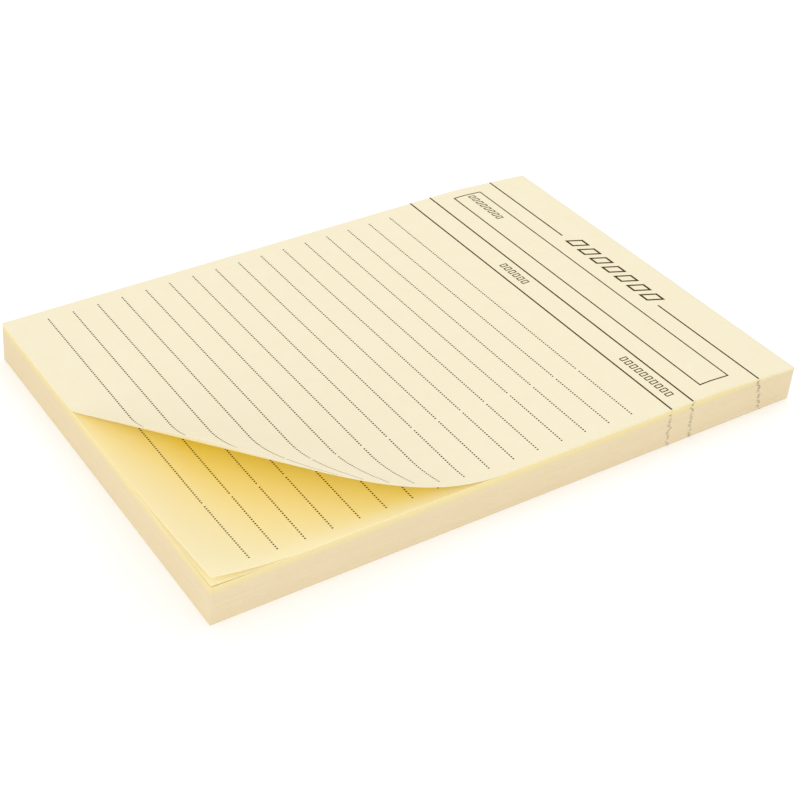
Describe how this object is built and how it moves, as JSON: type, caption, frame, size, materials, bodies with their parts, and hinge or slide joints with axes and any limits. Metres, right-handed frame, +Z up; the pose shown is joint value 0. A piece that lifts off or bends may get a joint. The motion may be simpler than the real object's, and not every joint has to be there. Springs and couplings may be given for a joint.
{
  "type": "note pad",
  "caption": "Block of cream ruled task sheets glued along the head, lying flat, with the loose top sheet's foot corner curled up over the next sheets.",
  "frame": {"origin": "centre of the object's outline seen from above, on the surface that it lies on", "axes": "+Z up out of the paper, +Y towards the glued head edge, +X towards the side with the curled corner"},
  "size_m": [0.1016, 0.1406, 0.0348],
  "materials": {
    "paper": "matt uncoated cream writing paper",
    "glue": "dried clear padding glue",
    "ink": "matt brown printing ink"
  },
  "bodies": {
    "root": {"sheet_stack": "paper", "third_sheet": "paper", "second_sheet": "paper", "top_sheet": "paper", "head_glue": "glue", "second_sheet_rules": "ink", "top_sheet_rules": "ink", "heading_lines": "ink", "heading_shapes": "ink", "side_marks_right": "ink", "side_marks_left": "ink"}
  },
  "joints": []
}
